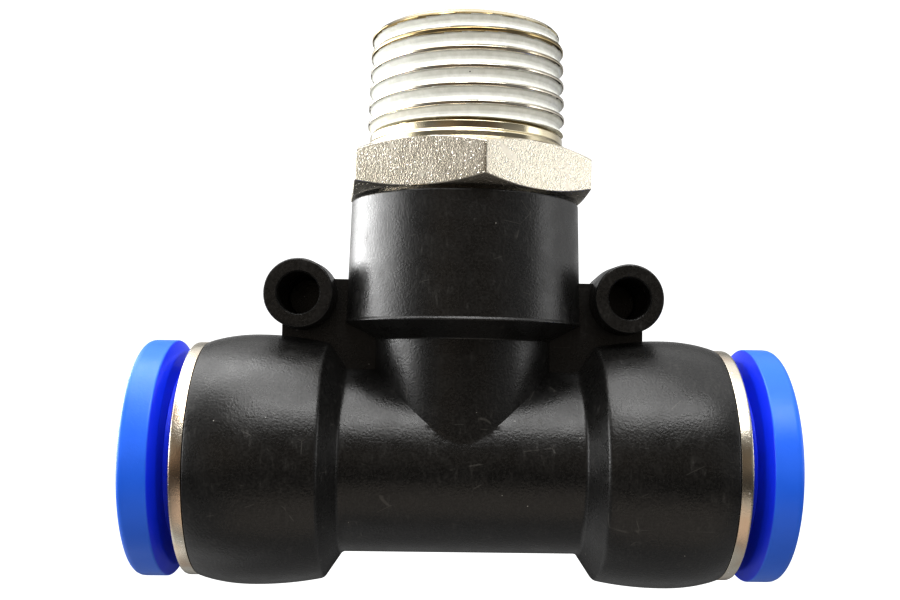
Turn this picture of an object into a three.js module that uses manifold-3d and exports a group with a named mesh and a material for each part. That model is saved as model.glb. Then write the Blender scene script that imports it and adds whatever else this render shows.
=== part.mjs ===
// Male branch tee push-in fitting: R1/2 taper thread on a swivelling stud, two 16 mm tube ports.
// Millimetres, +Z up along the branch towards the thread, +X along the run.
// The origin is on the thread axis, on the upper face of the hexagon.
import * as THREE from 'three';
import { mergeVertices } from 'three/addons/utils/BufferGeometryUtils.js';
import Module from 'manifold-3d';

const wasm = await Module();
wasm.setup();

// --- driving dimensions -------------------------------------------------------------------
// Heights are measured from the run axis, and lengths along the run from the branch axis.
const GAP = 0.3;                 // clearance kept between neighbouring pieces

// Tube and waterway
const TUBE_R = 8;                // 16 mm outside diameter tube
const TUBE_CLEARANCE = 0.15;     // between the tube and every bore it slides through
const TUBE_BORE_R = TUBE_R + TUBE_CLEARANCE;
const WATERWAY_R = 6.5;          // run passage between the two tube stops
const TUBE_STOP_X = 9.6;

// Run and ports of the body
const RUN_R = 9.5;
const NECK_X = 12.1;             // where the run starts to flare into the barrel
const BARREL_X = 13.9;           // sharp edge between the flare and the barrel
const BARREL_R = 12.2;           // radius at that edge
const BELLY_X = 20.9;            // widest place of the barrel
const BELLY_R = 12.9;
const BODY_END_X = 26.45;
const BODY_END_R = 12;
const END_ROUND = 0.6;
const CARTRIDGE_X = 14.2;        // inner end of the bore that holds the port's loose pieces
const CARTRIDGE_R = 10.6;

// Branch of the body
const BRANCH_R = 9.2;
const COLLAR_CONE_Z = 12.65;     // where the branch starts to flare into the collar
const COLLAR_Z = 14.3;
const COLLAR_R = 12.4;
const COLLAR_TOP_Z = 26.95;
const COLLAR_TOP_R = 11.95;
const COLLAR_EDGE = 0.15;        // small bevel on the collar's lower edge
const COLLAR_TOP_EDGE = 0.25;
const COLLAR_BORE_Z = 15;        // floor of the bore that takes the stud
const COLLAR_BORE_R = 9.6;
const SNAP_GROOVE_R = 10.5;

// Mounting ears and the web that carries them
const EAR_X = 16.85;
const EAR_Z = 17.07;
const EAR_R = 3.53;
const EAR_ROOT_R = 3.7;         // the ears grow slightly towards the middle
const EAR_HALF_LENGTH = 5;
const EAR_HOLE_R = 2.15;
const EAR_FLOOR = 0.9;           // skin left at the far end of each ear hole
const WEB_HALF_LENGTH = 18.9;
const WEB_TOP_Z = 18.82;
const WEB_THICKNESS = 2.2;

// Stud
const HEX_ACROSS_FLATS = 24;
const HEX_BOTTOM_Z = 27.25;
const HEX_TOP_Z = 32;
const HEX_CHAMFER_R = 12;        // radius of the flat end faces left by the chamfers
const HEX_CHAMFER_SLOPE = Math.tan(THREE.MathUtils.degToRad(25));
const HEX_TURN = 6.5;            // degrees that the near corner is turned towards +X
const STUD_BORE_R = 6;
const STUD_BOTTOM_Z = 15.5;
const SPIGOT_R = 9.3;
const SPIGOT_CHAMFER = 0.4;
const RING_GROOVE_DEPTH = 1.5;
const O_RING_Z = [17.2, 19.5];
const SNAP_RING_Z = [22.0, 23.4];
const SNAP_GROOVE_FLOOR_R = 8.3;
const SNAP_RING_SPLIT = 2.4;
const RELIEF_FOOT_R = 10.55;     // low step between the hexagon and the turned relief
const RELIEF_FOOT_Z = 33;
const RELIEF_R = 10.2;
const RELIEF_TOP_Z = 34;
const THREAD_TOP_Z = 45;
const THREAD_MAJOR_R = 20.955 / 2;
const THREAD_PITCH = 25.4 / 14;
const THREAD_DEPTH = 0.64033 * THREAD_PITCH;
const THREAD_CREST = THREAD_PITCH / 6;
const THREAD_TAPER = 1 / 32;     // radius lost for each millimetre along the axis
const THREAD_CHAMFER = 0.7;      // length of the bevel that ends the thread
const THREAD_END_R = 9.5;        // radius left on the end face by that bevel
const THREAD_CREST_Z = 35.59;    // height of the first full crest on the -Y side
const THREAD_EMBED = 0.3;        // how far the ridge is sunk into the core before they are joined
const BEAD_DEPTH = 0.45;         // sealant bead: its depth, and half its width below and above
const BEAD_HALF_FLOOR = 0.12;
const BEAD_HALF_TOP = 0.24;
const BEAD_TURNS = 5;

// Port pieces, from the tube stop outwards
const SEAL_X = [14.5, 17.4];
const SEAL_R = 7.8;
const SEAL_ENTRY = 0.5;          // how far the inner lip's end stands back from the sealing edge
const SEAL_HEEL = 0.35;
const SEAL_NOTCH = 1.1;          // depth of the V between the two lips
const SEAL_NOTCH_HALF = 0.25;
const BACKING_X = [17.7, 18.7];
const BACKING_R = 8.3;
const GRIP_X = [19, 20.4];
const GRIP_BAND = 0.5;           // sheet thickness
const GRIP_RIM = 0.9;            // width of the unbroken rim
const GRIP_TOOTH_R = 7.85;
const GRIP_TOOTH_TIP = 0.35;
const GRIP_TOOTH_HOOK = 0.1;     // how far the tooth's cut end points past its own tip
const GRIP_BEND = 0.2;           // the teeth start to bend this much earlier on the outer face
const GRIP_TEETH = 12;
const GRIP_SLOT = 0.7;
const RETAINER_X = 20.7;
const RETAINER_POCKET_R = 9.85;
const RETAINER_SHOULDER_X = 23.8;
const RETAINER_BORE_R = 9.35;
const RETAINER_LEAD = 0.3;
const RING_FACE_X = 27.8;
const RING_R = 12;
const RING_ROUND = 0.5;
const SLEEVE_INNER_X = 21.6;
const SLEEVE_LIP_X = 23.4;
const SLEEVE_LIP_R = 9.6;
const SLEEVE_LIP_RAMP = 1;
const SLEEVE_NECK_R = 9.05;
const SLEEVE_NOSE = 0.45;        // bevel inside the end that meets the grip teeth
const SLEEVE_MOUTH = 0.8;        // bevel where the tube goes in
const SLEEVE_TRAVEL = 1.0;
const FLANGE_ROOT_X = RING_FACE_X + SLEEVE_TRAVEL + 0.1;
const FLANGE_CONE_R = 10.95;     // where the flange's sloping back begins
const FLANGE_CONE_X = FLANGE_ROOT_X + 0.15;
const FLANGE_BACK_X = 29.7;
const FLANGE_FACE_X = 32.6;
const FLANGE_R = 12.15;
const FLANGE_ROUND = 0.7;

// Fineness of the round shapes
const ROUND = 24;
const FINE = 32;
const THREAD_STEPS = 20;         // steps for each turn of the thread
const CUTTER = 4;                // size of the square tools that cut slots through the rings

// --- helpers --------------------------------------------------------------------------------
const material = (color, roughness, metalness) =>
  new THREE.MeshStandardMaterial({ color, roughness, metalness });

const NICKEL = material(0xc9c4b8, 0.3, 1);
const STEEL = material(0xb9bcc0, 0.35, 1);
const BLACK_PLASTIC = material(0x1b1b1c, 0.55, 0);
const BLUE_PLASTIC = material(0x2f74ea, 0.35, 0);
const RUBBER = material(0x18181a, 0.8, 0);
const SEALANT = material(0xe8e6e0, 0.7, 0);
const WHITE_PLASTIC = material(0xdedcd4, 0.5, 0);

function toSolid(geometry) {
  const bare = geometry.index ? geometry.toNonIndexed() : geometry.clone();
  bare.deleteAttribute('normal');
  bare.deleteAttribute('uv');
  const merged = mergeVertices(bare, 1e-4);
  return new wasm.Manifold(new wasm.Mesh({
    numProp: 3,
    vertProperties: Float32Array.from(merged.attributes.position.array),
    triVerts: Uint32Array.from(merged.index.array),
  }));
}

function toGeometry(solid) {
  const mesh = solid.getMesh();
  const geometry = new THREE.BufferGeometry();
  geometry.setAttribute('position', new THREE.BufferAttribute(mesh.vertProperties, 3));
  geometry.setIndex(new THREE.BufferAttribute(mesh.triVerts, 1));
  geometry.computeVertexNormals();
  return geometry;
}

// A ring about +Z from a closed outline of [radius, height] points, anticlockwise.
function ring(outline, segments = ROUND) {
  const points = [...outline, outline[0]].map(([r, z]) => new THREE.Vector2(r, z));
  return new THREE.LatheGeometry(points, segments).rotateX(Math.PI / 2);
}

function plainRing(innerR, outerR, low, high, segments = ROUND) {
  return ring([[innerR, low], [outerR, low], [outerR, high], [innerR, high]], segments);
}

// A solid rod or cone about +Z.
function rod(lowR, highR, low, high, segments = ROUND) {
  return new THREE.CylinderGeometry(highR, lowR, high - low, segments)
    .rotateX(Math.PI / 2)
    .translate(0, 0, (low + high) / 2);
}

const alongX = (geometry) => geometry.rotateY(Math.PI / 2);
const alongY = (geometry) => geometry.rotateX(Math.PI / 2);

// Points of a rounded corner: a quarter circle about [r, z], from one angle to another.
function arc(r, z, radius, fromDegrees, toDegrees, steps = 3) {
  return Array.from({ length: steps + 1 }, (_, i) => {
    const angle = THREE.MathUtils.degToRad(fromDegrees + ((toDegrees - fromDegrees) * i) / steps);
    return [r + radius * Math.cos(angle), z + radius * Math.sin(angle)];
  });
}

// The helix starts on the +X side, three quarters of a turn before the -Y side.
const RIDGE_START_Z = THREAD_CREST_Z - 1.75 * THREAD_PITCH;

const threadRadius = (z) => THREAD_MAJOR_R - THREAD_TAPER * (z - RELIEF_TOP_Z);

// A closed strip swept along the taper thread's helix. The section is a list of
// [radius below the crest line, height] points, anticlockwise seen with +Z up.
function helix(section, startZ, turns) {
  const steps = Math.round(turns * THREAD_STEPS);
  const positions = [];
  for (let i = 0; i <= steps; i += 1) {
    const angle = (2 * Math.PI * i) / THREAD_STEPS;
    const rise = startZ + (THREAD_PITCH * i) / THREAD_STEPS;
    for (const [depth, height] of section) {
      const r = threadRadius(rise) - depth;
      positions.push(r * Math.cos(angle), r * Math.sin(angle), rise + height);
    }
  }
  const index = [];
  const n = section.length;
  for (let i = 0; i < steps; i += 1) {
    for (let j = 0; j < n; j += 1) {
      const a = i * n + j;
      const b = i * n + ((j + 1) % n);
      index.push(a, a + n, b, b, a + n, b + n);
    }
  }
  for (let j = 1; j < n - 1; j += 1) {
    index.push(0, j, j + 1);
    index.push(steps * n, steps * n + j + 1, steps * n + j);
  }
  const geometry = new THREE.BufferGeometry();
  geometry.setAttribute('position', new THREE.Float32BufferAttribute(positions, 3));
  geometry.setIndex(index);
  return geometry;
}

// --- body -----------------------------------------------------------------------------------
// Radius of the barrel at a distance along the run: a shallow belly, falling to the end.
function barrelRadius(x) {
  const towardsEnd = x > BELLY_X;
  const span = towardsEnd ? BODY_END_X - BELLY_X : BELLY_X - BARREL_X;
  const drop = towardsEnd ? BELLY_R - BODY_END_R : BELLY_R - BARREL_R;
  return BELLY_R - drop * ((x - BELLY_X) / span) ** 2;
}

function portShell() {
  const belly = Array.from({ length: 6 }, (_, i) => {
    const x = BARREL_X + ((BODY_END_X - END_ROUND - BARREL_X) * i) / 5;
    return [barrelRadius(x), x];
  });
  const outline = [
    [0, -1],
    [RUN_R, -1],
    [RUN_R, NECK_X],
    ...belly,
    ...arc(BODY_END_R - END_ROUND, BODY_END_X - END_ROUND, END_ROUND, 15, 90, 2),
    [0, BODY_END_X],
  ];
  const points = outline.map(([r, z]) => new THREE.Vector2(r, z));
  return new THREE.LatheGeometry(points, FINE).rotateX(Math.PI / 2);
}

function branchShell() {
  const outline = [
    [0, 0],
    [BRANCH_R, 0],
    [BRANCH_R, COLLAR_CONE_Z],
    [COLLAR_R - COLLAR_EDGE, COLLAR_Z - COLLAR_EDGE / 2],
    [COLLAR_R, COLLAR_Z + COLLAR_EDGE / 2],
    [COLLAR_TOP_R, COLLAR_TOP_Z - COLLAR_TOP_EDGE],
    [COLLAR_TOP_R - COLLAR_TOP_EDGE, COLLAR_TOP_Z],
    [0, COLLAR_TOP_Z],
  ];
  const points = outline.map(([r, z]) => new THREE.Vector2(r, z));
  return new THREE.LatheGeometry(points, FINE).rotateX(Math.PI / 2);
}

function ear(side) {
  const outline = [
    [0, -EAR_HALF_LENGTH],
    [EAR_R, -EAR_HALF_LENGTH],
    [EAR_ROOT_R, 0],
    [EAR_R, EAR_HALF_LENGTH],
    [0, EAR_HALF_LENGTH],
  ];
  const points = outline.map(([r, z]) => new THREE.Vector2(r, z));
  const geometry = new THREE.LatheGeometry(points, ROUND).rotateX(Math.PI / 2);
  return alongY(geometry).translate(side * EAR_X, 0, EAR_Z);
}

function housing() {
  const web = new THREE.BoxGeometry(2 * WEB_HALF_LENGTH, WEB_THICKNESS, WEB_TOP_Z)
    .translate(0, 0, WEB_TOP_Z / 2);
  const added = [branchShell(), web];
  const cut = [
    rod(COLLAR_BORE_R, COLLAR_BORE_R, COLLAR_BORE_Z, COLLAR_TOP_Z + 1, FINE),
    rod(SNAP_GROOVE_R, SNAP_GROOVE_R, SNAP_RING_Z[0] - GAP, SNAP_RING_Z[1] + GAP, FINE),
    rod(STUD_BORE_R, STUD_BORE_R, 0, COLLAR_BORE_Z + 1),
    alongX(rod(WATERWAY_R, WATERWAY_R, -TUBE_STOP_X - 1, TUBE_STOP_X + 1)),
  ];
  for (const side of [-1, 1]) {
    const turned = side * Math.PI / 2;
    added.push(portShell().rotateY(turned));
    added.push(ear(side));
    cut.push(rod(TUBE_BORE_R, TUBE_BORE_R, TUBE_STOP_X, CARTRIDGE_X + 1).rotateY(turned));
    cut.push(rod(CARTRIDGE_R, CARTRIDGE_R, CARTRIDGE_X, BODY_END_X + 1, FINE).rotateY(turned));
    cut.push(alongY(rod(EAR_HOLE_R, EAR_HOLE_R, EAR_FLOOR - EAR_HALF_LENGTH, EAR_HALF_LENGTH + 1))
      .translate(side * EAR_X, 0, EAR_Z));
  }
  const shell = added.map(toSolid).reduce((whole, solid) => whole.add(solid));
  return toGeometry(cut.map(toSolid).reduce((whole, solid) => whole.subtract(solid), shell));
}

// --- stud -----------------------------------------------------------------------------------
// Hexagon prism cut by a cone at each end, which leaves the round scallops on its corners.
function hexagon() {
  const height = HEX_TOP_Z - HEX_BOTTOM_Z;
  const cornerR = HEX_ACROSS_FLATS / Math.sqrt(3);
  const prism = new THREE.CylinderGeometry(cornerR, cornerR, height, 6)
    .rotateX(Math.PI / 2)
    .rotateZ(THREE.MathUtils.degToRad(HEX_TURN))
    .translate(0, 0, (HEX_TOP_Z + HEX_BOTTOM_Z) / 2);
  const reach = cornerR + 1;
  const drop = (reach - HEX_CHAMFER_R) * HEX_CHAMFER_SLOPE;
  const turned = new THREE.LatheGeometry([
    [0, HEX_BOTTOM_Z],
    [HEX_CHAMFER_R, HEX_BOTTOM_Z],
    [reach, HEX_BOTTOM_Z + drop],
    [reach, HEX_TOP_Z - drop],
    [HEX_CHAMFER_R, HEX_TOP_Z],
    [0, HEX_TOP_Z],
  ].map(([r, z]) => new THREE.Vector2(r, z)), FINE).rotateX(Math.PI / 2);
  return toSolid(prism).intersect(toSolid(turned));
}

// Taper thread: a helical ridge joined to its core and trimmed to length with a chamfered end.
function thread() {
  const low = RELIEF_TOP_Z;
  const coreR = (z) => threadRadius(z) - THREAD_DEPTH;
  const core = rod(coreR(low - 1), coreR(THREAD_TOP_Z), low - 1, THREAD_TOP_Z, THREAD_STEPS);
  const halfRoot = (THREAD_PITCH - THREAD_CREST) / 2;
  const sunk = THREAD_DEPTH + THREAD_EMBED;
  const ridge = helix([
    [sunk, -halfRoot],
    [0, -THREAD_CREST / 2],
    [0, THREAD_CREST / 2],
    [sunk, halfRoot],
  ], RIDGE_START_Z, (THREAD_TOP_Z - RIDGE_START_Z) / THREAD_PITCH + 1);
  const outside = THREAD_MAJOR_R + 1;
  const bevelSlope = THREAD_CHAMFER / (threadRadius(THREAD_TOP_Z) - THREAD_END_R);
  const trim = new THREE.LatheGeometry([
    [0, low - THREAD_EMBED],
    [coreR(low), low - THREAD_EMBED],
    [coreR(low) + THREAD_EMBED, low],
    [outside, low + THREAD_DEPTH],
    [outside, THREAD_TOP_Z - (outside - THREAD_END_R) * bevelSlope],
    [THREAD_END_R, THREAD_TOP_Z],
    [0, THREAD_TOP_Z],
  ].map(([r, z]) => new THREE.Vector2(r, z)), FINE).rotateX(Math.PI / 2);
  return toSolid(core).add(toSolid(ridge)).intersect(toSolid(trim));
}

function stud() {
  const oRingFloorR = SPIGOT_R - RING_GROOVE_DEPTH;
  const spigot = new THREE.LatheGeometry([
    [0, STUD_BOTTOM_Z],
    [SPIGOT_R - SPIGOT_CHAMFER, STUD_BOTTOM_Z],
    [SPIGOT_R, STUD_BOTTOM_Z + SPIGOT_CHAMFER],
    [SPIGOT_R, O_RING_Z[0] - GAP],
    [oRingFloorR, O_RING_Z[0] - GAP],
    [oRingFloorR, O_RING_Z[1] + GAP],
    [SPIGOT_R, O_RING_Z[1] + GAP],
    [SPIGOT_R, SNAP_RING_Z[0] - GAP],
    [SNAP_GROOVE_FLOOR_R, SNAP_RING_Z[0] - GAP],
    [SNAP_GROOVE_FLOOR_R, SNAP_RING_Z[1] + GAP],
    [SPIGOT_R, SNAP_RING_Z[1] + GAP],
    [SPIGOT_R, HEX_BOTTOM_Z + 1],
    [0, HEX_BOTTOM_Z + 1],
  ].map(([r, z]) => new THREE.Vector2(r, z)), ROUND).rotateX(Math.PI / 2);
  const foot = rod(RELIEF_FOOT_R, RELIEF_FOOT_R, HEX_TOP_Z - 1, RELIEF_FOOT_Z);
  const relief = rod(RELIEF_R, RELIEF_R, HEX_TOP_Z - 1, RELIEF_TOP_Z);
  const bore = rod(STUD_BORE_R, STUD_BORE_R, STUD_BOTTOM_Z - 1, THREAD_TOP_Z + 1);
  return toGeometry(toSolid(spigot)
    .add(hexagon())
    .add(toSolid(foot))
    .add(toSolid(relief))
    .add(thread())
    .subtract(toSolid(bore)));
}

// White sealant bead lying in the thread's groove.
function threadSealant() {
  const floor = THREAD_DEPTH - GAP;
  return helix([
    [floor, -BEAD_HALF_FLOOR],
    [floor - BEAD_DEPTH, -BEAD_HALF_TOP],
    [floor - BEAD_DEPTH, BEAD_HALF_TOP],
    [floor, BEAD_HALF_FLOOR],
  ], RIDGE_START_Z + 1.5 * THREAD_PITCH, BEAD_TURNS);
}

function studORing() {
  const [low, high] = O_RING_Z;
  const floorR = SPIGOT_R - RING_GROOVE_DEPTH;
  const middleR = (COLLAR_BORE_R + floorR) / 2;
  const halfWidth = (COLLAR_BORE_R - floorR) / 2 - GAP / 2;
  const halfHeight = (high - low) / 2;
  return ring(arc(0, 0, 1, 0, 315, 7).map(([across, up]) => [
    middleR + across * halfWidth,
    (low + high) / 2 + up * halfHeight,
  ]));
}

// Split spring ring that holds the stud in the collar, with its gap towards +X.
function studSnapRing() {
  const whole = plainRing(SNAP_GROOVE_FLOOR_R + GAP, SNAP_GROOVE_R - GAP, ...SNAP_RING_Z);
  const slot = new THREE.BoxGeometry(CUTTER, SNAP_RING_SPLIT, CUTTER)
    .translate(SPIGOT_R, 0, (SNAP_RING_Z[0] + SNAP_RING_Z[1]) / 2);
  return toGeometry(toSolid(whole).subtract(toSolid(slot)));
}

// --- port pieces, each about +Z with the tube entering from above ----------------------------
const PIECE_R = CARTRIDGE_R - GAP;

// Rubber lip seal: a block with a V notch that the pressure opens against the tube.
function tubeSeal() {
  const [low, high] = SEAL_X;
  const middleR = (SEAL_R + PIECE_R) / 2;
  return ring([
    [SEAL_R + SEAL_ENTRY, low],
    [middleR - SEAL_NOTCH_HALF, low],
    [middleR, low + SEAL_NOTCH],
    [middleR + SEAL_NOTCH_HALF, low],
    [PIECE_R, low],
    [PIECE_R, high],
    [SEAL_R + SEAL_HEEL, high],
    [SEAL_R, (low + high) / 2],
  ]);
}

function backingRing() {
  return plainRing(BACKING_R, PIECE_R, ...BACKING_X);
}

// Stainless grip ring: a flat band with teeth bent inwards, away from the tube's way in.
function gripRing() {
  const [low, high] = GRIP_X;
  const rootR = PIECE_R - GRIP_RIM;
  const whole = ring([
    [GRIP_TOOTH_R, low],
    [GRIP_TOOTH_R + GRIP_TOOTH_TIP, low - GRIP_TOOTH_HOOK],
    [rootR, high - GRIP_BAND],
    [PIECE_R, high - GRIP_BAND],
    [PIECE_R, high],
    [rootR - GRIP_BEND, high],
  ]);
  const slots = Array.from({ length: GRIP_TEETH }, (_, i) => {
    const slot = new THREE.BoxGeometry(rootR, GRIP_SLOT, CUTTER)
      .translate(rootR / 2, 0, (low + high) / 2)
      .rotateZ((2 * Math.PI * i) / GRIP_TEETH);
    return toSolid(slot);
  });
  return toGeometry(slots.reduce((left, slot) => left.subtract(slot), toSolid(whole)));
}

// Plated brass ring pressed into the barrel. Its shoulder keeps the sleeve's lip inside, and
// its flange is the bright band seen between the black barrel and the blue sleeve.
function retainingRing() {
  const corner = RING_FACE_X - RING_ROUND;
  return ring([
    [RETAINER_POCKET_R, RETAINER_X],
    [PIECE_R, RETAINER_X],
    [PIECE_R, BODY_END_X + GAP],
    [RING_R, BODY_END_X + GAP],
    ...arc(RING_R - RING_ROUND, corner, RING_ROUND, 0, 90),
    [RETAINER_BORE_R + RETAINER_LEAD, RING_FACE_X],
    [RETAINER_BORE_R, RING_FACE_X - RETAINER_LEAD],
    [RETAINER_BORE_R, RETAINER_SHOULDER_X],
    [RETAINER_POCKET_R, RETAINER_SHOULDER_X],
  ], FINE);
}

// Blue release sleeve: pushing its flange in drives the inner end against the grip teeth.
function releaseSleeve() {
  const corner = FLANGE_FACE_X - FLANGE_ROUND;
  return ring([
    [TUBE_BORE_R + SLEEVE_NOSE, SLEEVE_INNER_X],
    [SLEEVE_NECK_R, SLEEVE_INNER_X],
    [SLEEVE_LIP_R, SLEEVE_INNER_X + SLEEVE_LIP_RAMP],
    [SLEEVE_LIP_R, SLEEVE_LIP_X],
    [SLEEVE_NECK_R, SLEEVE_LIP_X],
    [SLEEVE_NECK_R, FLANGE_ROOT_X],
    [FLANGE_CONE_R, FLANGE_CONE_X],
    [FLANGE_R, FLANGE_BACK_X],
    ...arc(FLANGE_R - FLANGE_ROUND, corner, FLANGE_ROUND, 0, 90),
    [TUBE_BORE_R + SLEEVE_MOUTH, FLANGE_FACE_X],
    [TUBE_BORE_R, FLANGE_FACE_X - SLEEVE_MOUTH],
    [TUBE_BORE_R, SLEEVE_INNER_X + SLEEVE_NOSE],
  ], FINE);
}

// --- assembly -------------------------------------------------------------------------------
function addMesh(parent, name, geometry, finish) {
  const mesh = new THREE.Mesh(geometry, finish);
  mesh.name = name;
  parent.add(mesh);
}

const fitting = new THREE.Group();
const tee = new THREE.Group();
tee.position.z = -HEX_TOP_Z;
fitting.add(tee);

addMesh(tee, 'body', housing(), BLACK_PLASTIC);
addMesh(tee, 'stud', stud(), NICKEL);
addMesh(tee, 'thread_sealant', threadSealant(), SEALANT);
addMesh(tee, 'stud_o_ring', studORing(), RUBBER);
addMesh(tee, 'stud_snap_ring', studSnapRing(), STEEL);

for (const [name, side] of [['left', -1], ['right', 1]]) {
  const port = new THREE.Group();
  port.rotation.y = side * Math.PI / 2;
  tee.add(port);
  addMesh(port, `${name}_tube_seal`, tubeSeal(), RUBBER);
  addMesh(port, `${name}_backing_ring`, backingRing(), WHITE_PLASTIC);
  addMesh(port, `${name}_grip_ring`, gripRing(), STEEL);
  addMesh(port, `${name}_retaining_ring`, retainingRing(), NICKEL);
  addMesh(port, `${name}_release_sleeve`, releaseSleeve(), BLUE_PLASTIC);
}

export default fitting;
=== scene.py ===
import math

import bpy
import numpy as np
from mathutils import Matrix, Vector


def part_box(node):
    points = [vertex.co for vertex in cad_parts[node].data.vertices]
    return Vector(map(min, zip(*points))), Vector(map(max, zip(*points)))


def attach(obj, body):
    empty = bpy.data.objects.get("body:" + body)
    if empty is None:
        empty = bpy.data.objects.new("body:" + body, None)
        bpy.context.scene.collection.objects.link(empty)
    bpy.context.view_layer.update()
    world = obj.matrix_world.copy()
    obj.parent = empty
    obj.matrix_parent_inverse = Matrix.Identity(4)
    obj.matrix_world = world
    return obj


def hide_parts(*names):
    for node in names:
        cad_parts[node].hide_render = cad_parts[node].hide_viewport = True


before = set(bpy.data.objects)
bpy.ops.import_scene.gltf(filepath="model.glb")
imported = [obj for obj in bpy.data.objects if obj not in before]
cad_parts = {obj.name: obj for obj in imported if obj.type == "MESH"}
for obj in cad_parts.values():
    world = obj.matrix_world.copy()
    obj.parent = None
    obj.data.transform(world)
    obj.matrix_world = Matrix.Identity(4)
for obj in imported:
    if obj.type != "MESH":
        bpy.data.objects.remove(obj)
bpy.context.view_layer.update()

# ---------------------------------------------------------------------------------------------
# Body: one black plastic moulding. The collar takes the stud, the run crosses it, and each end
# of the run swells into a barrel that holds a port. Two ear tubes stand on a thin web between
# them. All lengths are millimetres from the crossing of the two axes.

MM = 0.001
sleeve_low, sleeve_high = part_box("left_release_sleeve")
RUN_Z = (sleeve_low.z + sleeve_high.z) / 2 / MM
BODY_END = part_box("body")[1].x / MM
COLLAR_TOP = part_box("body")[1].z / MM - RUN_Z

RUN_R = 9.5
BRANCH_R = 9.2
FLARE_START = 12.1
BARREL_START = 13.9
BARREL_START_R = 12.2
BELLY_X = 20.9
BELLY_R = 12.9
INNER_DROP, OUTER_DROP = 0.7, 0.85
CONE_START = 12.65
COLLAR_FOOT = 14.3
COLLAR_FOOT_R = 12.4
COLLAR_TOP_R = 11.95
WATERWAY_R = 6.5
TUBE_STOP = 9.6
TUBE_BORE_R = 8.15
CARTRIDGE_START = 14.2
CARTRIDGE_R = 10.6
STUD_BORE_R = 6
COLLAR_BORE_R, COLLAR_BORE_FLOOR = 9.6, 15
SNAP_GROOVE_R = 10.5
SNAP_GROOVE_LOW, SNAP_GROOVE_HIGH = 21.7, 23.7
EAR_X = 16.85
EAR_Z = 17.07
EAR_FLAT_R, EAR_R, EAR_MIDDLE_R = 2.9, 3.53, 3.7
EAR_HALF_LENGTH = 5
EAR_HOLE_R = 2.15
WEB_THICKNESS = 2.2
WEB_HALF_LENGTH = 18.9
WEB_LOW, WEB_TOP = 2, 18.82

DIRECTIONS = {
    "X": lambda across, along, h: (h, along, -across),
    "-X": lambda across, along, h: (-h, along, across),
    "Y": lambda across, along, h: (-across, h, along),
    "Z": lambda across, along, h: (across, along, h),
}


def soften(corners, steps=5):
    """An outline whose corners (radius, height, setback) are rounded off."""
    points = []
    count = len(corners)
    for i, (r, h, setback) in enumerate(corners):
        corner = Vector((r, h))
        if setback == 0:
            points.append(tuple(corner))
            continue
        before = Vector(corners[i - 1][:2]) - corner
        after = Vector(corners[(i + 1) % count][:2]) - corner
        start = corner + before.normalized() * setback
        end = corner + after.normalized() * setback
        for k in range(steps + 1):
            t = k / steps
            points.append(tuple(start * (1 - t) ** 2 + corner * 2 * t * (1 - t) + end * t ** 2))
    return points


def link(name, data):
    thing = bpy.data.objects.new(name, data)
    bpy.context.scene.collection.objects.link(thing)
    return thing


def turned(name, outline_at, columns=160, direction="Z", centre=(0, 0, 0), ring=True, arc=1.0,
           angles=None):
    """A turned solid. outline_at(angle) gives its (radius, height) points, anticlockwise, and the
    angle is 0 at -Y. A ring closes on itself, and any other outline ends on the axis."""
    whole = arc == 1.0
    steps = columns if whole else columns - 1
    angles = angles or [2 * math.pi * arc * i / steps for i in range(columns)]
    columns = len(angles)
    outlines = [outline_at(angle) for angle in angles]
    rows = len(outlines[0])
    place = DIRECTIONS[direction]
    points = []
    for angle, outline in zip(angles, outlines):
        for r, h in outline:
            x, y, z = place(r * math.sin(angle), -r * math.cos(angle), h)
            points.append(((x + centre[0]) * MM, (y + centre[1]) * MM, (z + centre[2] + RUN_Z) * MM))
    faces = []
    for i in range(columns if whole else columns - 1):
        a, b = i * rows, ((i + 1) % columns) * rows
        for j in range(rows if ring else rows - 1):
            k = (j + 1) % rows
            faces.append((a + j, b + j, b + k, a + k))
    if not ring:
        faces.append(tuple(i * rows for i in reversed(range(columns))))
        faces.append(tuple(i * rows + rows - 1 for i in range(columns)))
    if not whole:
        faces.append(tuple(reversed(range(rows))))
        faces.append(tuple((columns - 1) * rows + j for j in range(rows)))
    mesh = bpy.data.meshes.new(name)
    mesh.from_pydata(points, [], faces)
    mesh.validate()
    return link(name, mesh)


def combine(target, operation, *tools):
    """Joins the tools to the target, or cuts them from it, and leaves one plain mesh."""
    for tool in tools:
        change = target.modifiers.new(operation.lower(), "BOOLEAN")
        change.operation = operation
        change.solver = "EXACT"
        change.object = tool
    depsgraph = bpy.context.evaluated_depsgraph_get()
    mesh = bpy.data.meshes.new_from_object(target.evaluated_get(depsgraph))
    target.modifiers.clear()
    target.data = mesh
    for tool in tools:
        bpy.data.objects.remove(tool)
    return target


def finish_faces(piece, sharp_degrees=32):
    """Smooth shading with crisp edges, and flats kept flat beside their rounded edges."""
    piece.data.shade_smooth()
    piece.data.set_sharp_from_angle(angle=math.radians(sharp_degrees))
    weighted = piece.modifiers.new("flat_faces", "WEIGHTED_NORMAL")
    weighted.keep_sharp = True
    return piece


def barrel_radius(x):
    """Shallow belly of the barrel: widest at BELLY_X, slimmer at both ends."""
    if x < BELLY_X:
        return BELLY_R - INNER_DROP * ((BELLY_X - x) / (BELLY_X - BARREL_START)) ** 2
    return BELLY_R - OUTER_DROP * ((x - BELLY_X) / (BODY_END - BELLY_X)) ** 2.2


def run_outline(_):
    """The run and both barrels. Extra rows on the plain run keep its shading even."""
    half = [(RUN_R, x, 0) for x in np.linspace(0, FLARE_START - 0.6, 16)]
    half += [(RUN_R, FLARE_START, 0.35), (BARREL_START_R, BARREL_START, 0.3)]
    half += [(barrel_radius(x), x, 0) for x in np.linspace(BARREL_START + 0.8, BODY_END - 0.7, 18)]
    half += [(barrel_radius(BODY_END) - 0.02, BODY_END, 0.2), (CARTRIDGE_R - 1, BODY_END, 0)]
    other = [(r, -x, setback) for r, x, setback in reversed(half[1:])]
    return soften(other + half)


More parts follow.
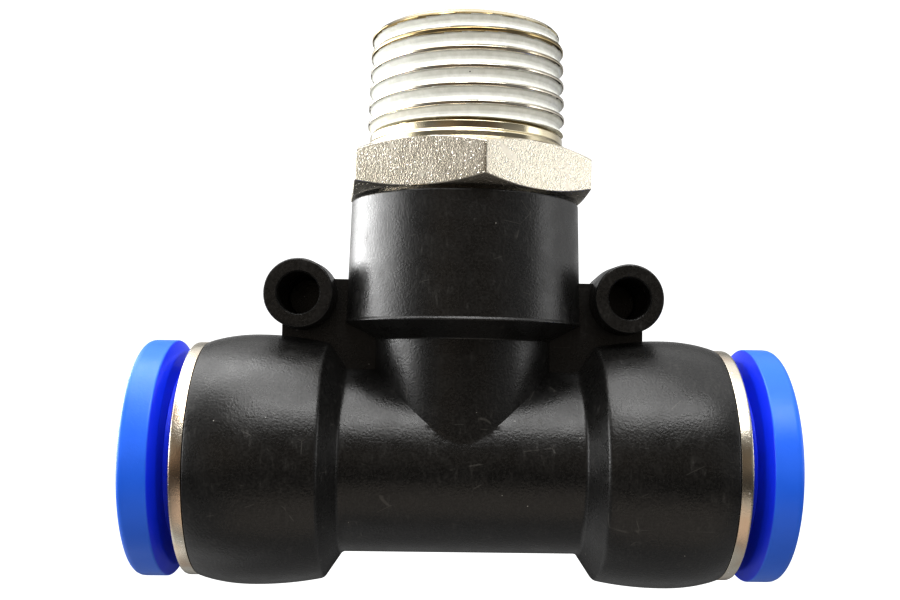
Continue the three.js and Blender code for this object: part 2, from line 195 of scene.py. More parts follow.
def branch_outline(_):
    """The branch, its cone and the collar, with a fine raised line round the collar's foot."""
    return soften([(BRANCH_R, z, 0) for z in np.linspace(0, 12, 17)] + [
        (BRANCH_R, CONE_START, 0.15), (COLLAR_FOOT_R, COLLAR_FOOT, 0.05),
        (COLLAR_FOOT_R, COLLAR_FOOT + 0.12, 0.03), (COLLAR_FOOT_R - 0.12, COLLAR_FOOT + 0.32, 0.05),
        (COLLAR_TOP_R, COLLAR_TOP, 0.25), (8, COLLAR_TOP, 0),
    ])


def run_bore_outline(_):
    """Waterway, tube bore and cartridge bore, the same towards both ports."""
    half = [
        (WATERWAY_R, 0.0), (WATERWAY_R, TUBE_STOP), (TUBE_BORE_R, TUBE_STOP),
        (TUBE_BORE_R, CARTRIDGE_START), (CARTRIDGE_R, CARTRIDGE_START), (CARTRIDGE_R, BODY_END + 1),
    ]
    return [(r, -x) for r, x in reversed(half[1:])] + half


def collar_bore_outline(_):
    """Bore for the stud, with the groove that its spring ring snaps into."""
    return [
        (STUD_BORE_R, 0), (STUD_BORE_R, COLLAR_BORE_FLOOR), (COLLAR_BORE_R, COLLAR_BORE_FLOOR),
        (COLLAR_BORE_R, SNAP_GROOVE_LOW), (SNAP_GROOVE_R, SNAP_GROOVE_LOW),
        (SNAP_GROOVE_R, SNAP_GROOVE_HIGH), (COLLAR_BORE_R, SNAP_GROOVE_HIGH), (COLLAR_BORE_R, 30),
    ]


def ear_outline(_):
    return soften([
        (EAR_FLAT_R, -EAR_HALF_LENGTH, 0), (EAR_R, -EAR_HALF_LENGTH, 0.22), (EAR_MIDDLE_R, 0, 0),
        (EAR_R, EAR_HALF_LENGTH, 0.22), (EAR_FLAT_R, EAR_HALF_LENGTH, 0),
    ])


def ear_hole_outline(_):
    """A hole closed at the back, whose black floor stands in for the shade seen through the ear, with a
    small lead at its mouth.
    """
    return [(EAR_HOLE_R + 0.3, -5.2), (EAR_HOLE_R, -4.85), (EAR_HOLE_R, 4.0), (EAR_HOLE_R - 0.15, 4.2)]


def web_plate():
    shoulder_x, shoulder_z = WEB_HALF_LENGTH - 0.8, WEB_TOP - 0.85
    outline = [
        (-WEB_HALF_LENGTH, WEB_LOW), (WEB_HALF_LENGTH, WEB_LOW), (WEB_HALF_LENGTH, shoulder_z),
        (shoulder_x, WEB_TOP), (-shoulder_x, WEB_TOP), (-WEB_HALF_LENGTH, shoulder_z),
    ]
    sides = [(x * MM, (z + RUN_Z) * MM) for x, z in outline]
    points = [(x, y * WEB_THICKNESS / 2 * MM, z) for y in (-1, 1) for x, z in sides]
    faces = [tuple(range(6)), tuple(reversed(range(6, 12)))]
    faces += [(i, i + 6, (i + 1) % 6 + 6, (i + 1) % 6) for i in range(6)]
    mesh = bpy.data.meshes.new("web")
    mesh.from_pydata(points, [], faces)
    return link("web", mesh)


run = turned("body_moulding", run_outline, 176, "X", ring=False)
joined = [turned("branch", branch_outline, 176, ring=False), web_plate()]
bores = [
    turned("run_bore", run_bore_outline, 120, "X", ring=False),
    turned("collar_bore", collar_bore_outline, 120, ring=False),
]
for side in (-1, 1):
    ear_place = (side * EAR_X, 0, EAR_Z)
    joined.append(turned("ear", ear_outline, 96, "Y", ear_place, ring=False))
    bores.append(turned("ear_hole", ear_hole_outline, 72, "Y", ear_place, ring=False))
combine(run, "UNION", *joined)
body = finish_faces(combine(run, "DIFFERENCE", *bores))


class Value:
    """A value that runs through a node tree. Arithmetic on it adds Math nodes."""

    def __init__(self, nodes, socket):
        self.nodes, self.socket = nodes, socket

    def maths(self, operation, *others):
        values = dict(enumerate((self, *others)))
        return self.nodes.node("ShaderNodeMath", {"operation": operation}, values)

    def __add__(self, other):
        return self.maths("ADD", other)

    def __sub__(self, other):
        return self.maths("SUBTRACT", other)

    def __rsub__(self, other):
        return (self * -1).maths("ADD", other)

    def __mul__(self, other):
        return self.maths("MULTIPLY", other)

    def __gt__(self, other):
        return self.maths("GREATER_THAN", other)

    def __lt__(self, other):
        return self.maths("LESS_THAN", other)

    __radd__ = __add__
    __rmul__ = __mul__


class Nodes:
    """A node tree, built through one method."""

    def __init__(self, tree):
        self.tree = tree

    def node(self, kind, settings, inputs, output=0):
        """Any node: its settings are set first, then its sockets, and one output comes back."""
        made = self.tree.nodes.new(kind)
        for setting, value in settings.items():
            setattr(made, setting, value)
        self.wire(made, inputs)
        return Value(self, made.outputs[output])

    def wire(self, made, inputs):
        for key, value in inputs.items():
            if isinstance(value, Value):
                self.tree.links.new(value.socket, made.inputs[key])
            else:
                made.inputs[key].default_value = value

    def between(self, value, low, high, start=0.0, end=1.0):
        """Runs from start to end as the value runs from low to high."""
        return self.node("ShaderNodeMapRange", {"interpolation_type": "SMOOTHSTEP"},
                         {"Value": value, 1: low, 2: high, 3: start, 4: end})

    def blend(self, factor, first, second):
        return self.node("ShaderNodeMix", {"data_type": "RGBA"},
                         {"Factor": factor, 6: first, 7: second}, 2)

    def vector(self, operation, inputs, output=0):
        return self.node("ShaderNodeVectorMath", {"operation": operation}, inputs, output)

    def part_of(self, vector, axis):
        return self.node("ShaderNodeSeparateXYZ", {}, {0: vector}, axis)


class Finish(Nodes):
    """A surface finish: a material built from a maker's words for it."""

    def __init__(self, name):
        self.material = bpy.data.materials.new(name)
        self.material.use_nodes = True
        super().__init__(self.material.node_tree)
        self.shader = self.tree.nodes["Principled BSDF"]
        local = self.node("ShaderNodeTexCoord", {}, {}, "Object")
        self.place = self.vector("SCALE", {0: local, "Scale": 1 / MM})

    def noise(self, scale, detail=2.0, place=None):
        return self.node("ShaderNodeTexNoise", {},
                         {"Vector": place or self.place, "Scale": scale, "Detail": detail}, "Fac")

    def stretched(self, along, turn):
        """The place, stretched along a direction, for marks that run one way."""
        return self.node("ShaderNodeMapping", {},
                         {"Vector": self.place, "Rotation": turn, "Scale": along})

    def bump(self, height, depth, under=None):
        inputs = {"Height": height, "Strength": 1.0, "Distance": depth * MM}
        if under:
            inputs["Normal"] = under
        return self.node("ShaderNodeBump", {}, inputs)

    def specks(self, spacing, size, share):
        """Small scattered dots: a share of the cells, each with a dot of about that size."""
        cells = {"Vector": self.place, "Scale": 1 / spacing}
        away = self.node("ShaderNodeTexVoronoi", {}, cells, "Distance")
        pick = self.node("ShaderNodeTexVoronoi", {}, cells, "Color")
        chosen = self.node("ShaderNodeSeparateColor", {}, {"Color": pick}, 0) < share
        return self.between(away, size / spacing, size / spacing * 0.5) * chosen

    def surface(self, **sockets):
        self.wire(self.shader, {key.replace("_", " "): value for key, value in sockets.items()})

    def cover(self, *pieces):
        for piece in pieces:
            piece.data.materials.clear()
            piece.data.materials.append(self.material)


def black_moulding():
    """Black plastic with a fine matte skin, handling scuffs, dust and hairline scratches."""
    finish = Finish("black_moulding")
    skin = finish.noise(4.5, 3.0)
    ripple = finish.noise(0.7, 2.0)
    cloud = finish.noise(0.16, 3.0)
    streaks = finish.noise(2.4, 5.0, finish.stretched((1.2, 0.7, 0.35), (0.2, 0.7, 0.3)))
    smudge = finish.noise(0.5, 4.0)
    scuff = finish.between(streaks, 0.5, 0.78) * finish.between(smudge, 0.45, 0.66)
    crack = finish.node("ShaderNodeTexVoronoi", {"feature": "DISTANCE_TO_EDGE"},
                        {"Vector": finish.stretched((0.35, 1.0, 0.6), (0.9, 0.4, 0.7)), "Scale": 0.3})
    scratch = finish.between(crack, 0.008, 0.002) * finish.between(finish.noise(0.5, 1.0), 0.58, 0.64)
    dust = finish.specks(1.25, 0.08, 0.2)
    tone = finish.between(skin, 0.35, 0.68) * 0.6 + cloud * 0.4
    colour = finish.blend(tone, (0.0055, 0.0054, 0.0052, 1), (0.026, 0.0252, 0.0238, 1))
    scuffed = finish.blend(scuff * 0.4 + scratch * 0.6, colour, (0.085, 0.082, 0.075, 1))
    dusty = finish.blend(dust, scuffed, (0.4, 0.39, 0.36, 1))
    normal = finish.bump(ripple, 0.012, finish.bump(skin, 0.03))
    finish.surface(Base_Color=dusty, Normal=normal, IOR=1.58,
                   Roughness=finish.between(smudge, 0.35, 0.65, 0.25, 0.32) + scuff * 0.12)
    return finish


black_moulding().cover(body)
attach(body, "housing")
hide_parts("body")

# ---------------------------------------------------------------------------------------------
# Stud: turned from hexagon bar in brass and nickel plated. Above the hexagon come a low foot, a
# mirror-bright relief and the taper thread, and below it a spigot with two grooves sits in the
# collar. It turns on its own, held by a spring ring.

PITCH = 25.4 / 14
MAJOR_R = 20.955 / 2
TAPER = 1 / 32
THREAD_DEPTH = 0.64 * PITCH
THREAD_START = 34.0
THREAD_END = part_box("stud")[1].z / MM - RUN_Z
CREST_Z = 35.59
CREST_HALF, FLANK = 0.07, 0.35
BEVEL_LENGTH = 0.7
ROWS_PER_PITCH = 24
HEX_LOW = 27.25
HEX_HIGH = -RUN_Z
HEX_FLAT = 12.0
HEX_TURN = math.radians(6.5)
HEX_SHARPNESS = 320
CHAMFER_SLOPE = math.tan(math.radians(25))
FOOT_R = 10.55
FOOT_TOP = HEX_HIGH + 0.85
RELIEF_R = 10.2
SPIGOT_R = 9.3
SPIGOT_LOW = 15.5
O_RING_FLOOR_R = 7.8
O_RING_GROOVE_LOW, O_RING_GROOVE_HIGH = 16.9, 19.8
SNAP_FLOOR_R = 8.3


def hexagon_radius(angle):
    """Distance from the axis to the hexagon's side, with slightly eased corners."""
    turn = angle - HEX_TURN - math.radians(30)
    sides = [max(math.cos(turn - math.radians(60) * k), 0) ** HEX_SHARPNESS for k in range(6)]
    return HEX_FLAT * sum(sides) ** (-1 / HEX_SHARPNESS)


def crest_radius(z):
    return MAJOR_R - (z - THREAD_START) * TAPER


def crest_distance(angle, z):
    """How far a height is from the nearest crest, in pitches from 0 to 0.5."""
    turns = (z - CREST_Z) / PITCH - angle / (2 * math.pi)
    return abs(turns - round(turns))


def thread_radius(angle, z):
    """The thread with its rounded crests, a run-out at its foot and a bevel at its end."""
    crest_r = crest_radius(z)
    root_r = crest_r - THREAD_DEPTH
    flank = min(max((crest_distance(angle, z) - CREST_HALF) / FLANK, 0), 1)
    profile = crest_r - THREAD_DEPTH * (0.5 - 0.5 * math.cos(math.pi * flank)) ** 0.8
    runout = root_r + (z - THREAD_START) * 1.4 - 0.05
    bevel = crest_r - max(z - THREAD_END + BEVEL_LENGTH, 0) * 0.9
    return min(profile, max(runout, root_r), bevel)


def stud_outline(angle):
    side = hexagon_radius(angle)
    cut = max(side - HEX_FLAT, 0.02) * CHAMFER_SLOPE
    shoulder = min(side, HEX_FLAT) - 0.02
    below = soften([
        (STUD_BORE_R, SPIGOT_LOW, 0), (SPIGOT_R - 0.4, SPIGOT_LOW, 0.1),
        (SPIGOT_R, SPIGOT_LOW + 0.4, 0.1), (SPIGOT_R, O_RING_GROOVE_LOW, 0),
        (O_RING_FLOOR_R, O_RING_GROOVE_LOW, 0), (O_RING_FLOOR_R, O_RING_GROOVE_HIGH, 0),
        (SPIGOT_R, O_RING_GROOVE_HIGH, 0), (SPIGOT_R, SNAP_GROOVE_LOW, 0),
        (SNAP_FLOOR_R, SNAP_GROOVE_LOW, 0), (SNAP_FLOOR_R, SNAP_GROOVE_HIGH, 0),
        (SPIGOT_R, SNAP_GROOVE_HIGH, 0), (SPIGOT_R, HEX_LOW, 0),
        (shoulder, HEX_LOW, 0.04), (side, HEX_LOW + cut, 0.1),
        (side, HEX_HIGH - cut, 0.1), (shoulder, HEX_HIGH, 0.04),
        (FOOT_R + 0.07, HEX_HIGH, 0.1), (FOOT_R, FOOT_TOP, 0.12), (FOOT_R - 0.23, FOOT_TOP + 0.13, 0.05),
        (RELIEF_R, FOOT_TOP + 0.27, 0.06), (RELIEF_R, THREAD_START - 0.12, 0.1), (9.4, THREAD_START, 0),
    ], 4)
    count = round((THREAD_END - THREAD_START) / PITCH * ROWS_PER_PITCH)
    heights = np.linspace(THREAD_START + 0.02, THREAD_END - 0.02, count)
    thread = [(thread_radius(angle, z), z) for z in heights]
    mouth = soften([
        (thread[-1][0] - 0.08, THREAD_END, 0), (STUD_BORE_R + 0.5, THREAD_END, 0.1),
        (STUD_BORE_R, THREAD_END - 0.5, 0.1),
    ], 3)
    return below + thread + mouth


near_corner = [0, 0.35, 0.7, 1.1, 1.6, 2.2, 3.0]
from_corner = near_corner + list(np.arange(4, 56.5, 1)) + [60 - step for step in reversed(near_corner[1:])]
stud_angles = [HEX_TURN + math.radians(60 * k + step) for k in range(6) for step in from_corner]
stud = finish_faces(turned("stud_turned", stud_outline, angles=stud_angles), 50)


def thread_depth(finish):
    """How far a point lies below the line of the crests, and its height above the hexagon."""
    across = finish.vector("MULTIPLY", {0: finish.place, 1: (1, 1, 0)})
    radius = finish.vector("LENGTH", {0: across}, "Value")
    height = finish.part_of(finish.place, "Z")
    return MAJOR_R + (THREAD_START + RUN_Z) * TAPER - height * TAPER - radius, height


def nickel_plate(name, grain, glints, threaded):
    """Nickel over brass: warm bright metal, grained and pitted where it was milled or tumbled. On
    the stud the grain stops above the hexagon, and rubbed thread crests let the brass through. On
    the rings the plate is thin in patches."""
    finish = Finish(name)
    pits = finish.noise(4.0, 4.0)
    fine = finish.noise(8.0, 2.0)
    milling = finish.noise(2.2, 3.0, finish.stretched((1, 1, 0.2), (0, 0, 0)))
    tone = finish.noise(0.35, 2.0)
    colour = finish.blend(tone, (0.63, 0.585, 0.49, 1), (0.76, 0.72, 0.64, 1))
    spark = finish.specks(0.4, 0.095, 0.6 * glints)
    relief = milling * 0.2 + pits * 0.45 + fine * 0.6 + spark * 1.2
    roughness = finish.between(tone, 0.3, 0.7, 0.22, 0.28)
    if threaded:
        below_crest, height = thread_depth(finish)
        smooth = height > 0.02
        spark = spark * (1 - smooth)
        relief = relief * (1 - smooth * 0.95)
        roughness = roughness - smooth * 0.12
        colour = finish.blend(smooth, colour, (0.7, 0.635, 0.48, 1))
        crest = finish.between(below_crest, 0.34, 0.2) * (height > THREAD_START + RUN_Z)
        rubbed = finish.between(height, THREAD_END + RUN_Z - 5, THREAD_END + RUN_Z - 2)
        brass = finish.blend(rubbed, (0.6, 0.56, 0.48, 1), (0.4, 0.32, 0.18, 1))
        colour = finish.blend(crest, colour, brass)
    else:
        thin_plate = finish.between(finish.noise(0.14, 3.0), 0.5, 0.66)
        colour = finish.blend(thin_plate, colour, (0.64, 0.52, 0.41, 1))
    finish.surface(Base_Color=finish.blend(spark, colour, (0.97, 0.95, 0.9, 1)), Metallic=1.0,
                   Normal=finish.bump(relief, 0.05 * grain), Roughness=roughness)
    return finish


nickel_plate("nickel_milled", grain=1.0, glints=1.0, threaded=True).cover(stud)
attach(stud, "stud_body")
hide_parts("stud")

# ---------------------------------------------------------------------------------------------
# Thread sealant: a white coat brushed on the thread and dried. It fills the grooves, thins out on
# the flanks and is rubbed off the crests.

COAT_START = THREAD_START + 0.25
COAT_END = THREAD_END - 0.55


def wobble(angle, z):
    """Slow unevenness of the brushed coat."""
    return (math.sin(3 * angle + 1.7 * z) + math.sin(7 * angle - 2.9 * z + 1)
            + math.sin(13 * angle + 4.1 * z + 2)) / 3


def coat_radius(angle, z):
    """A shallow trough between crests. On a bare crest the coat dips under the metal."""
    metal = thread_radius(angle, z)
    rubbed = min(max((z - THREAD_END + 5) / 3, 0), 1)
    bare = 0.11 + 0.05 * rubbed + 0.03 * wobble(angle, z)
    cover = min(max((crest_distance(angle, z) - bare) / 0.3, 0), 1)
    if cover == 0:
        return metal - 0.06
    trough = 0.1 + (0.36 + 0.05 * wobble(angle + 2, z)) * math.sin(math.pi / 2 * cover) ** 0.8
    return max(min(crest_radius(z) - trough, metal + 0.6), metal + 0.05)


def coat_outline(angle):
    count = round((COAT_END - COAT_START) / PITCH * ROWS_PER_PITCH)
    outer = [(coat_radius(angle, z), z) for z in np.linspace(COAT_START, COAT_END, count)]
    inside = MAJOR_R - THREAD_DEPTH - 0.75
    return [(inside, COAT_START)] + outer + [(inside, COAT_END)]


coat = finish_faces(turned("sealant_coat", coat_outline, 288), 60)


def dried_sealant():
    """Chalky white film, with painted grey shade beside the crests."""
    finish = Finish("dried_sealant")
    patch = finish.noise(1.2, 4.0)
    grain = finish.noise(7.0, 3.0)
    dirt = finish.specks(1.1, 0.09, 0.1)
    colour = finish.blend(finish.between(patch, 0.35, 0.7), (0.82, 0.83, 0.78, 1), (0.9, 0.91, 0.865, 1))
    below_crest, _ = thread_depth(finish)
    # Painted shade: the film is turned grey next to each crest, standing in for the shading there.
    painted_crest_shade = finish.between(below_crest, 0.32, 0.12) * finish.between(patch, 0.25, 0.6, 0.4, 0.85)
    colour = finish.blend(painted_crest_shade, colour, (0.42, 0.41, 0.36, 1))
    finish.surface(Base_Color=finish.blend(dirt, colour, (0.03, 0.025, 0.02, 1)),
                   Roughness=finish.between(patch, 0.3, 0.7, 0.55, 0.75),
                   Normal=finish.bump(grain, 0.02, finish.bump(patch, 0.05)))
    return finish


dried_sealant().cover(coat)
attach(coat, "stud_body")
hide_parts("thread_sealant")

# ---------------------------------------------------------------------------------------------
# Stud seal and spring ring: a nitrile O-ring in the lower groove, and a split ring of spring wire
# in the upper one that snaps into the collar.

O_RING_MIDDLE_R, O_RING_MIDDLE_Z = 8.7, 18.35
O_RING_HALF_WIDTH, O_RING_HALF_HEIGHT = 0.75, 1.15
SNAP_INNER_R, SNAP_OUTER_R = 8.6, 10.2
SNAP_LOW, SNAP_HIGH = 22.0, 23.4


def o_ring_outline(_):
    turns = np.linspace(0, 2 * math.pi, 20, endpoint=False)
    return [(O_RING_MIDDLE_R + O_RING_HALF_WIDTH * math.cos(a),
             O_RING_MIDDLE_Z + O_RING_HALF_HEIGHT * math.sin(a)) for a in turns]


def snap_ring_outline(_):
    return soften([
        (SNAP_INNER_R, SNAP_LOW, 0.15), (SNAP_OUTER_R, SNAP_LOW, 0.15),
        (SNAP_OUTER_R, SNAP_HIGH, 0.15), (SNAP_INNER_R, SNAP_HIGH, 0.15),
    ], 3)


def rubber(name):
    """Moulded nitrile rubber: near black, dull, with a faint bloom."""
    finish = Finish(name)
    bloom = finish.noise(0.8, 3.0)
    finish.surface(Base_Color=finish.blend(bloom, (0.008, 0.008, 0.009, 1), (0.02, 0.02, 0.019, 1)),
                   Roughness=finish.between(bloom, 0.3, 0.7, 0.6, 0.8),
                   Normal=finish.bump(finish.noise(6.0, 3.0), 0.012))
    return finish


def stainless(name):
    """Stamped spring steel with a fine rolling grain."""
    finish = Finish(name)
    rolled = finish.noise(2.0, 4.0, finish.stretched((1, 12, 1), (0, 0, 0.4)))
    finish.surface(Base_Color=finish.blend(rolled, (0.5, 0.5, 0.51, 1), (0.62, 0.62, 0.62, 1)),
                   Metallic=1.0, Roughness=finish.between(rolled, 0.3, 0.7, 0.22, 0.38),
                   Normal=finish.bump(rolled, 0.008))
    return finish


nitrile = rubber("nitrile_rubber")
spring_steel = stainless("spring_steel")
o_ring = finish_faces(turned("stud_o_ring_seal", o_ring_outline), 60)
nitrile.cover(o_ring)
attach(o_ring, "stud_body")
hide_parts("stud_o_ring")

snap_ring = finish_faces(turned("stud_spring_ring", snap_ring_outline, 120, arc=0.93))
spring_steel.cover(snap_ring)
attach(snap_ring, "stud_body")
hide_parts("stud_snap_ring")

# ---------------------------------------------------------------------------------------------
# Port pieces, the same at both ends of the run. From the tube stop outwards: lip seal, backing
# ring, grip ring with bent teeth, plated retaining ring pressed into the barrel, release sleeve.

PIECE_R = CARTRIDGE_R - 0.3
SEAL_INNER, SEAL_OUTER = 14.5, 17.4
SEAL_LIP_R = 7.8
BACKING_INNER, BACKING_OUTER = 17.7, 18.7
BACKING_R = 8.3
GRIP_TEETH = 12
GRIP_RIM = 0.9
GRIP_TIP_R, GRIP_TIP_X = 7.85, 18.95
GRIP_INNER, GRIP_OUTER = 19.9, 20.4
RETAINER_INNER, RETAINER_SHOULDER = 20.7, 23.8
RETAINER_POCKET_R, RETAINER_BORE_R = 9.85, 9.35
RING_R = 12.0
RING_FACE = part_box("right_retaining_ring")[1].x / MM
SLEEVE_INNER = 21.6
SLEEVE_NECK_R = 9.05
SLEEVE_LIP_R, SLEEVE_LIP_END = 9.6, 23.4
FLANGE_R = 12.15
FLANGE_BACK = 29.7
FLANGE_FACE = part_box("right_release_sleeve")[1].x / MM


def natural_acetal():
    """Uncoloured white plastic ring."""
    finish = Finish("natural_acetal")
    cloud = finish.noise(0.6, 2.0)
    finish.surface(Base_Color=finish.blend(cloud, (0.68, 0.67, 0.62, 1), (0.76, 0.75, 0.71, 1)),
                   Roughness=finish.between(cloud, 0.3, 0.7, 0.35, 0.5),
                   Normal=finish.bump(finish.noise(4.0, 2.0), 0.01))
    return finish


def blue_acetal():
    """Blue moulded sleeve: smooth, slightly waxy, with a few specks, and painted shade behind the flange.
    """
    finish = Finish("blue_acetal")
    cloud = finish.noise(0.25, 2.0)
    skin = finish.noise(3.5, 3.0)
    fine = finish.noise(9.0, 2.0)
    dust = finish.specks(2.6, 0.07, 0.12)
    colour = finish.blend(cloud, (0.03, 0.165, 0.74, 1), (0.038, 0.2, 0.84, 1))
    along = finish.part_of(finish.place, "X").maths("ABSOLUTE")
    # Painted shade: inboard of the flange back the blue is made deeper and more saturated, standing in for
    # the shade there.
    painted_shade_behind_flange = finish.between(along, FLANGE_BACK + 0.05, FLANGE_BACK - 0.1)
    colour = finish.blend(painted_shade_behind_flange, colour, (0.007, 0.05, 0.85, 1))
    finish.surface(Base_Color=finish.blend(dust, colour, (0.35, 0.5, 0.8, 1)),
                   Roughness=finish.between(cloud, 0.35, 0.65, 0.3, 0.38),
                   Normal=finish.bump(skin, 0.012, finish.bump(fine, 0.006)))
    return finish


def seal_outline(_):
    """A block with a V between its two lips, which the pressure opens against the tube."""
    middle = (SEAL_LIP_R + PIECE_R) / 2
    return soften([
        (SEAL_LIP_R + 0.5, SEAL_INNER, 0.1), (middle - 0.25, SEAL_INNER, 0.1),
        (middle, SEAL_INNER + 1.1, 0.1), (middle + 0.25, SEAL_INNER, 0.1),
        (PIECE_R, SEAL_INNER, 0.2), (PIECE_R, SEAL_OUTER, 0.2),
        (SEAL_LIP_R + 0.35, SEAL_OUTER, 0.2), (SEAL_LIP_R, (SEAL_INNER + SEAL_OUTER) / 2, 0.4),
    ], 4)


def backing_outline(_):
    return soften([
        (BACKING_R, BACKING_INNER, 0.15), (PIECE_R, BACKING_INNER, 0.1),
        (PIECE_R, BACKING_OUTER, 0.1), (BACKING_R, BACKING_OUTER, 0.25),
    ], 3)


def grip_outline(angle):
    """The band is whole, and the teeth reach inwards between narrow slots."""
    step = 2 * math.pi / GRIP_TEETH
    away = abs((angle + step / 2) % step - step / 2) / step
    reach = min(max((away - 0.05) / 0.02, 0), 1)
    root = PIECE_R - GRIP_RIM
    tip = root + (GRIP_TIP_R - root) * reach
    low = GRIP_INNER + (GRIP_TIP_X - GRIP_INNER) * reach
    return [(tip, low), (tip + 0.2, low - 0.02), (root, GRIP_INNER - 0.05), (PIECE_R, GRIP_INNER),
            (PIECE_R, GRIP_OUTER), (root - 0.1, GRIP_OUTER - 0.05)]


def retaining_outline(_):
    return soften([
        (RETAINER_POCKET_R, RETAINER_INNER, 0), (PIECE_R, RETAINER_INNER, 0.1),
        (PIECE_R, BODY_END + 0.02, 0), (RING_R, BODY_END + 0.02, 0.08), (RING_R, RING_FACE, 0.45),
        (RETAINER_BORE_R + 0.25, RING_FACE, 0.15), (RETAINER_BORE_R, RING_FACE - 0.4, 0.1),
        (RETAINER_BORE_R, RETAINER_SHOULDER, 0), (RETAINER_POCKET_R, RETAINER_SHOULDER, 0),
    ])


def sleeve_outline(_):
    return soften([
        (TUBE_BORE_R + 0.45, SLEEVE_INNER, 0.1), (SLEEVE_NECK_R, SLEEVE_INNER, 0.1),
        (SLEEVE_LIP_R, SLEEVE_INNER + 1, 0.1), (SLEEVE_LIP_R, SLEEVE_LIP_END, 0.05),
        (SLEEVE_NECK_R, SLEEVE_LIP_END, 0.05), (SLEEVE_NECK_R, RING_FACE + 1.1, 0.1),
        (FLANGE_R - 1.2, RING_FACE + 1.25, 0.2), (FLANGE_R, FLANGE_BACK, 0.16),
        (FLANGE_R, FLANGE_FACE, 0.75), (TUBE_BORE_R + 0.85, FLANGE_FACE, 0.4),
        (TUBE_BORE_R, FLANGE_FACE - 0.8, 0.3), (TUBE_BORE_R, SLEEVE_INNER + 0.45, 0.1),
    ])


acetal = natural_acetal()
blue = blue_acetal()
plated = nickel_plate("nickel_turned", grain=0.35, glints=0.15, threaded=False)
PORT_PIECES = [
    ("lip_seal", seal_outline, "tube_seal", "housing", "rubber", nitrile, 128),
    ("backing", backing_outline, "backing_ring", "housing", "white_plastic", acetal, 128),
    ("grip", grip_outline, "grip_ring", "collet", "stainless_steel", spring_steel, 360),
    ("retaining", retaining_outline, "retaining_ring", "housing", "nickel_plate", plated, 192),
    ("release", sleeve_outline, "release_sleeve", "sleeve", "blue_plastic", blue, 192),
]
for side, direction in (("left", "-X"), ("right", "X")):
    for word, outline, node, rides_on, slot, finish, columns in PORT_PIECES:
        piece = finish_faces(turned(f"{side}_{word}", outline, columns, direction), 40)
        finish.cover(piece)
        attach(piece, rides_on if rides_on == "housing" else f"{side}_{rides_on}")
        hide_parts(f"{side}_{node}")

# ---------------------------------------------------------------------------------------------
# Studio: a pale floor well below the part, a white surround that is brightest behind and to the
# left and dim on the camera's side, and soft lights in front and above.

FLOOR_Z = -0.8
FLOOR_CORNERS = ((-3, -3), (3, -3), (3, 3), (-3, 3))
floor_mesh = bpy.data.meshes.new("floor")
floor_mesh.from_pydata([(x, y, FLOOR_Z) for x, y in FLOOR_CORNERS], [], [(0, 1, 2, 3)])
floor = link("floor", floor_mesh)
paper = Finish("pale_floor")
paper.surface(Base_Color=(0.92, 0.92, 0.92, 1), Roughness=0.9, Emission_Color=(1, 1, 1, 1),
              Emission_Strength=1.0)
paper.cover(floor)
floor.visible_glossy = False
floor.visible_diffuse = False

WHITE = (1, 1, 1)
WARM = (1, 0.82, 0.64)
# Bearing in degrees (0 towards the camera, + towards the right), brightness and tint.
SURROUND = [
    (-180, 0.7, WHITE), (-158, 0.8, WHITE), (-142, 3, WHITE), (-130, 11, WHITE), (-106, 11, WHITE),
    (-92, 8, WHITE), (-76, 6, WHITE), (-60, 1.1, WHITE), (-48, 0.45, WHITE), (-25, 0.5, WARM),
    (0, 0.22, WARM), (25, 0.3, WARM), (50, 0.5, WHITE), (70, 0.6, WHITE), (82, 3.3, WHITE),
    (105, 1.4, WHITE), (140, 0.7, WHITE), (180, 0.7, WHITE),
]
BRIGHTEST = max(level for _, level, _ in SURROUND)
SOFTEST = (1.8, 1.8, 1.8)
BACKDROP = (1.2, 1.2, 1.2, 1)

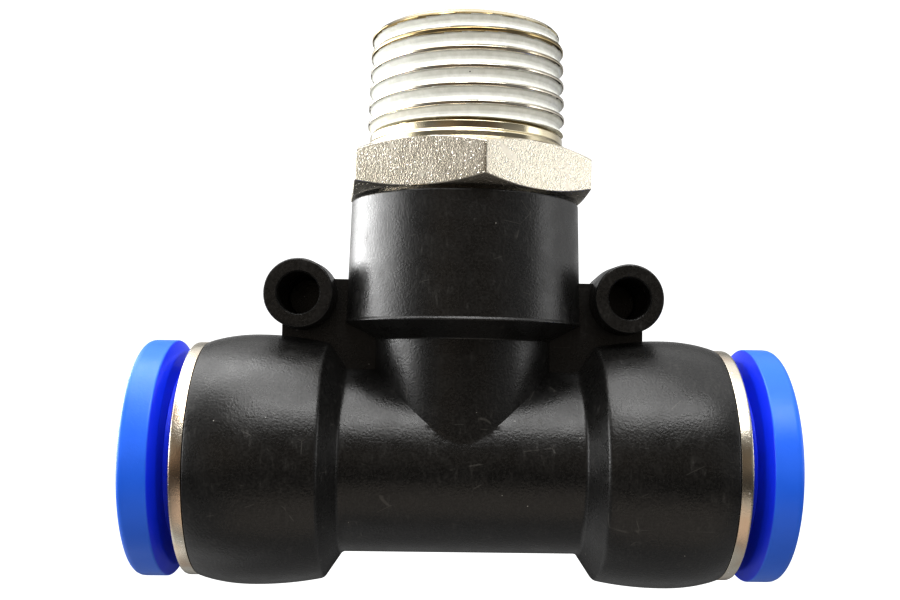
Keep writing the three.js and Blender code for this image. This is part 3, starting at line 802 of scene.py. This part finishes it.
world = bpy.data.worlds.new("studio")
bpy.context.scene.world = world
world.use_nodes = True
surround = Nodes(world.node_tree)
way = surround.node("ShaderNodeTexCoord", {}, {})
up = surround.part_of(way, "Z")
bearing = surround.part_of(way, "X").maths("ARCTAN2", surround.part_of(way, "Y") * -1)
ramp = surround.node("ShaderNodeValToRGB", {}, {0: bearing * (0.5 / math.pi) + 0.5})
stops = ramp.socket.node.color_ramp
stops.interpolation = "EASE"
for degrees, _, _ in SURROUND[1:-1]:
    stops.elements.new(degrees / 360 + 0.5)
for stop, (_, level, tint) in zip(stops.elements, SURROUND):
    stop.color = [level / BRIGHTEST * part for part in tint] + [1]
height = surround.between(up, -0.2, 0.03, 0.06, 1.0) * surround.between(up, 0.22, 0.45, 1.0, 0.28)
sky = surround.between(up, 0.35, 0.9, 0.0, 1.2) + surround.between(up, -0.65, -0.25, 0.45, 0.0)
wall = surround.vector("SCALE", {0: ramp, "Scale": height * BRIGHTEST})
lit = surround.vector("ADD", {0: wall, 1: sky})
softened = surround.vector("MINIMUM", {0: lit, 1: SOFTEST})
shed = surround.blend(surround.node("ShaderNodeLightPath", {}, {}, "Is Diffuse Ray"), lit, softened)
shown = surround.blend(surround.node("ShaderNodeLightPath", {}, {}, "Is Camera Ray"), shed, BACKDROP)
surround.wire(surround.tree.nodes["Background"], {"Color": shown})


def soft_light(name, location, size, power, colour=WHITE, glossy=True):
    """A large lamp that faces the middle of the part."""
    light = bpy.data.lights.new(name, "AREA")
    light.shape = "RECTANGLE"
    light.size, light.size_y = size
    light.energy = power
    light.color = colour
    lamp = link(name, light)
    lamp.location = location
    lamp.visible_glossy = glossy
    towards_part = Vector((0, 0, RUN_Z * MM / 2)) - lamp.location
    lamp.rotation_euler = towards_part.to_track_quat("-Z", "Y").to_euler()


soft_light("front_fill", (0.1, -0.36, 0.42), (0.5, 0.22), 1.75)
soft_light("above", (-0.1, -0.1, 0.5), (0.45, 0.35), 1.7)
soft_light("low_front", (0.1, -0.34, -0.42), (0.6, 0.4), 0.35, WARM)
soft_light("front_soft", (0.0, -0.48, 0.12), (0.6, 0.4), 0.55, glossy=False)

camera_data = bpy.data.cameras.new("camera")
camera_data.sensor_width = 36
camera_data.lens = 42.5
camera_data.shift_x = -0.021
camera_data.shift_y = 0.027
camera_data.clip_start = 0.005
camera = link("camera", camera_data)
camera.location = (-0.00254, -0.1125, (RUN_Z + 9.94) * MM)
camera.rotation_euler = (math.radians(92.25), math.radians(-0.96), math.radians(-1.65))
bpy.context.scene.camera = camera
bpy.context.scene.view_settings.view_transform = "Standard"
bpy.context.scene.view_settings.gamma = 0.75
